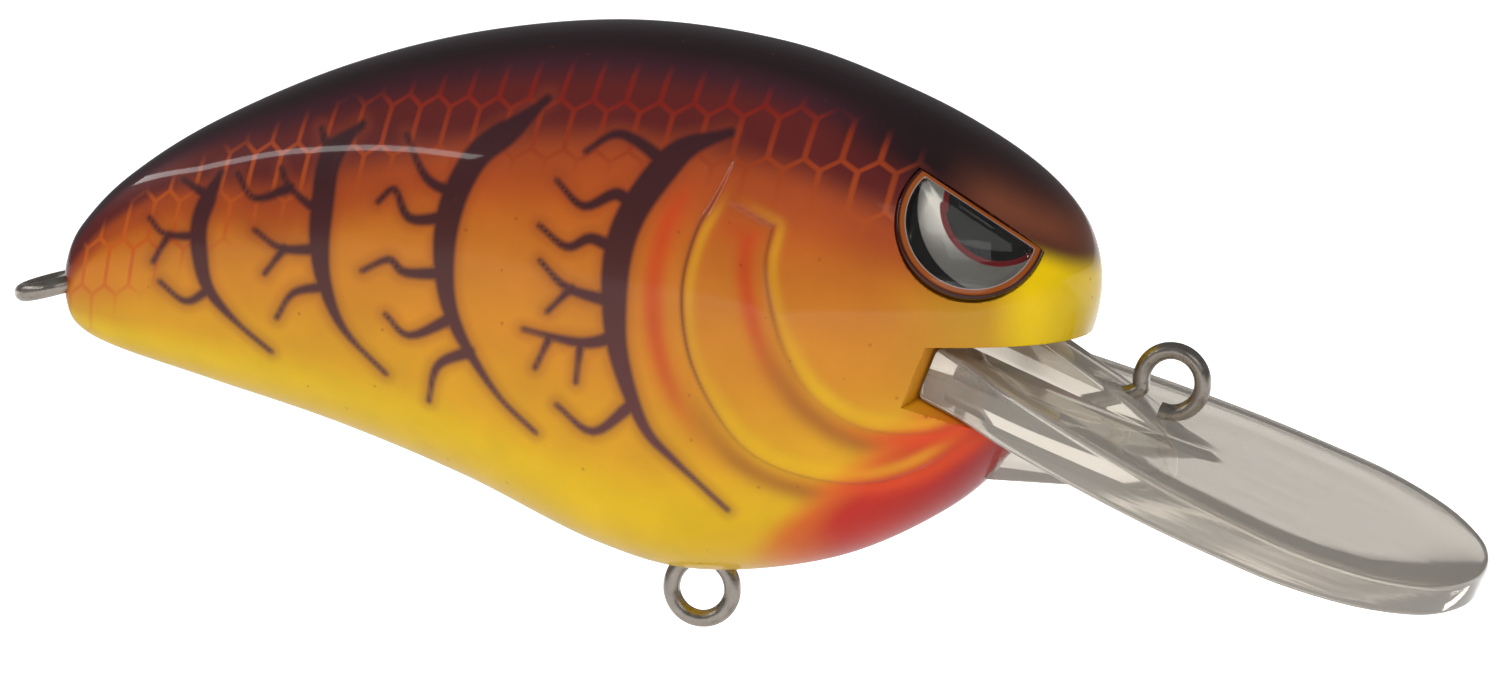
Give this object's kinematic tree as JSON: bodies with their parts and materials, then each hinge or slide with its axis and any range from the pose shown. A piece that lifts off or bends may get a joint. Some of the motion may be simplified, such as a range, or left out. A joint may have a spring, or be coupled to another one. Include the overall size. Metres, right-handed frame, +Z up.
{
  "type": "crankbait lure",
  "caption": "Hard-bodied deep-diving fishing lure with a clear lip, wire line tie, belly and tail hook eyes, moulded eyes and loose rattling balls inside a hollow two-part body.",
  "frame": {"origin": "centre of the line tie, the wire eye that the fishing line is knotted to", "axes": "+X forwards out of the nose, +Y to the lure's left, +Z up through the back"},
  "size_m": [0.0781, 0.0224, 0.0314],
  "materials": {
    "painted_body": "airbrushed paint in orange, yellow and dark red-brown under a gloss clear coat",
    "clear_lip": "clear moulded polycarbonate, polished",
    "wire": "drawn stainless spring wire, satin",
    "eye_foil": "printed silver foil with a black pupil and a red ring",
    "eye_dome": "clear cast resin dome",
    "ballast": "cast weight, dull grey",
    "knocker": "sintered heavy-metal ball",
    "rattle": "polished bearing ball"
  },
  "bodies": {
    "lure_body": {"body_shell_left": "painted_body", "body_shell_right": "painted_body", "diving_lip": "clear_lip", "line_tie": "wire", "belly_hook_hanger": "wire", "tail_hook_hanger": "wire", "eye_foil_left": "eye_foil", "eye_foil_right": "eye_foil", "eye_dome_left": "eye_dome", "eye_dome_right": "eye_dome", "belly_ballast": "ballast"},
    "knocker": {"knocker_ball": "knocker"},
    "head_rattle": {"head_rattle_ball": "rattle"},
    "tail_rattle_1": {"tail_rattle_ball_1": "rattle"},
    "tail_rattle_2": {"tail_rattle_ball_2": "rattle"},
    "tail_rattle_3": {"tail_rattle_ball_3": "rattle"}
  },
  "joints": [
    {"name": "knocker_roll", "type": "slide", "parent": "lure_body", "child": "knocker", "axis": [1, 0, 0], "range_m": [-0.003, 0.003]},
    {"name": "head_rattle_roll", "type": "slide", "parent": "lure_body", "child": "head_rattle", "axis": [0, 1, 0], "range_m": [-0.002, 0.002]},
    {"name": "tail_rattle_roll_1", "type": "slide", "parent": "lure_body", "child": "tail_rattle_1", "axis": [1, 0, 0], "range_m": [-0.0015, 0.0015]},
    {"name": "tail_rattle_roll_2", "type": "slide", "parent": "lure_body", "child": "tail_rattle_2", "axis": [1, 0, 0], "range_m": [-0.0015, 0.0015]},
    {"name": "tail_rattle_roll_3", "type": "slide", "parent": "lure_body", "child": "tail_rattle_3", "axis": [1, 0, 0], "range_m": [-0.0015, 0.0015]}
  ],
  "couplings": [
    {"joint": "tail_rattle_roll_2", "follows": "tail_rattle_roll_1", "ratio": 1},
    {"joint": "tail_rattle_roll_3", "follows": "tail_rattle_roll_1", "ratio": 1}
  ]
}
